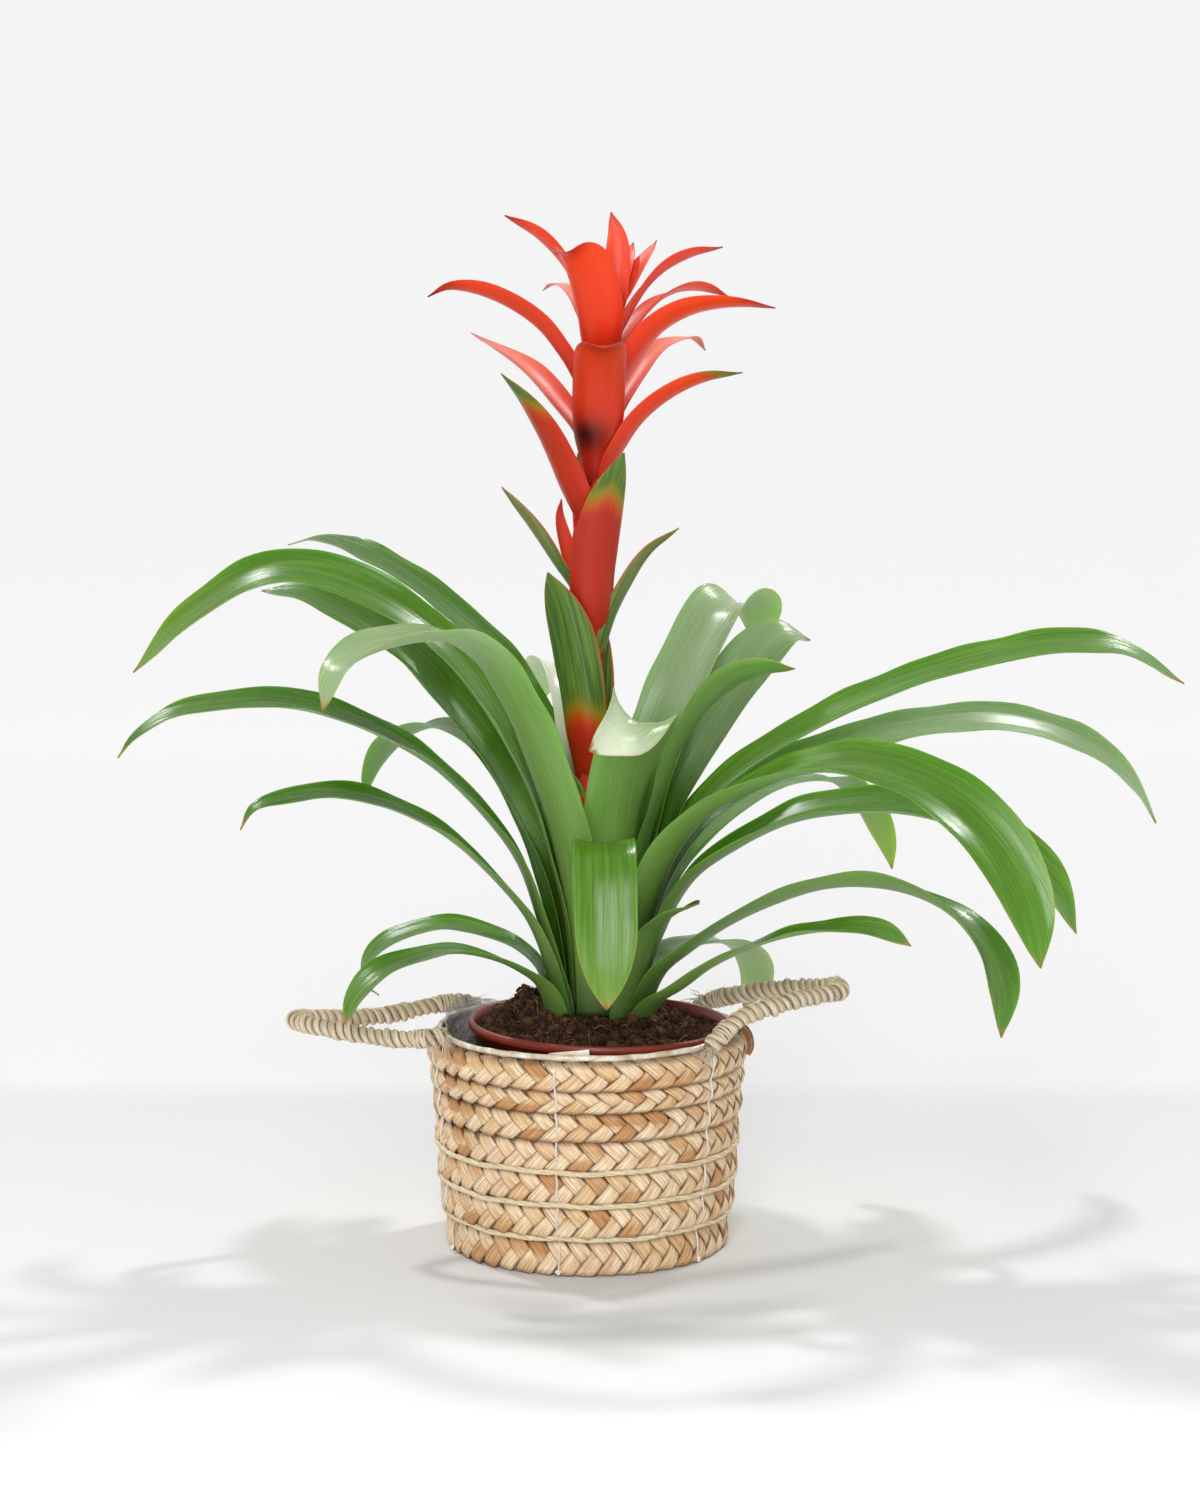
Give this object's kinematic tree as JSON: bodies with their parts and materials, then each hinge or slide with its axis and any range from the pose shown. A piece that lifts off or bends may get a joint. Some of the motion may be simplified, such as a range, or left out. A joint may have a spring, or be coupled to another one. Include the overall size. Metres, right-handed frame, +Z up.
{
  "type": "potted_bromeliad",
  "caption": "Guzmania bromeliad with an orange-red flower spike, in a terracotta nursery pot inside a round basket of plaited water hyacinth with two rope handles",
  "frame": {"origin": "On the basket's axis at floor level.", "axes": "+Z is up. +X is the viewer's right, so the two rope handles lie along X. -Y is the front."},
  "size_m": [0.5304, 0.3201, 0.5077],
  "materials": {
    "leaf": "glossy living leaf with fine parallel veins, paler underneath",
    "bract": "waxy orange-red bract, the lower ones green towards the tip",
    "crown": "pale green fleshy stock where the leaf bases meet",
    "pot_plastic": "terracotta coloured thin moulded polypropylene",
    "coir": "moist dark brown coir and peat, fibrous and crumbly",
    "plait": "plaited dried water hyacinth, straw to light brown",
    "plait_end": "darker curled end of the plait",
    "liner_film": "thin clear polythene film, crinkled",
    "liner_band": "milky rolled edge of the film",
    "rope": "closely wound grey-brown plant fibre",
    "thread": "thin white binding thread",
    "green_cord": "thin twisted cord, straw with a green tint"
  },
  "bodies": {
    "root": {"leaf_01_back_pale": "leaf", "leaf_02_front_folded": "leaf", "leaf_03_left_high_thin": "leaf", "leaf_04_right_dark": "leaf", "leaf_05_left_front_broad": "leaf", "leaf_06_right_back_broad": "leaf", "leaf_07_left_long_top": "leaf", "leaf_08_right_back_upper": "leaf", "leaf_09_left_back_long": "leaf", "leaf_10_right_long_top": "leaf", "leaf_11_front_centre": "leaf", "leaf_12_back_centre": "leaf", "leaf_13_left_back_hanging": "leaf", "leaf_14_right_front_broad": "leaf", "leaf_15_left_long_middle": "leaf", "leaf_16_right_long_middle": "leaf", "leaf_17_right_middle_broad": "leaf", "leaf_18_back_left_middle": "leaf", "leaf_19_left_long_lower": "leaf", "leaf_20_right_back_hanging": "leaf", "leaf_21_front_right_short": "leaf", "leaf_22_back_right_low": "leaf", "leaf_23_left_low_curled": "leaf", "leaf_24_right_low_long": "leaf", "leaf_25_left_low_front": "leaf", "leaf_26_back_right_lowest": "leaf", "leaf_27_right_low_front": "leaf", "leaf_28_back_lowest": "leaf", "flower_spike": "bract", "crown": "crown", "nursery_pot": "pot_plastic", "soil": "coir", "basket": "plait", "plait_end": "plait_end", "liner": "liner_film", "liner_rim": "liner_band", "handle_left": "rope", "handle_right": "rope", "stitch_thread_1": "thread", "stitch_thread_2": "thread", "stitch_thread_3": "thread", "stitch_thread_4": "thread", "stitch_thread_5": "thread", "stitch_thread_6": "thread", "groove_cord_1": "green_cord", "groove_cord_2": "green_cord", "groove_cord_3": "green_cord"}
  },
  "joints": []
}
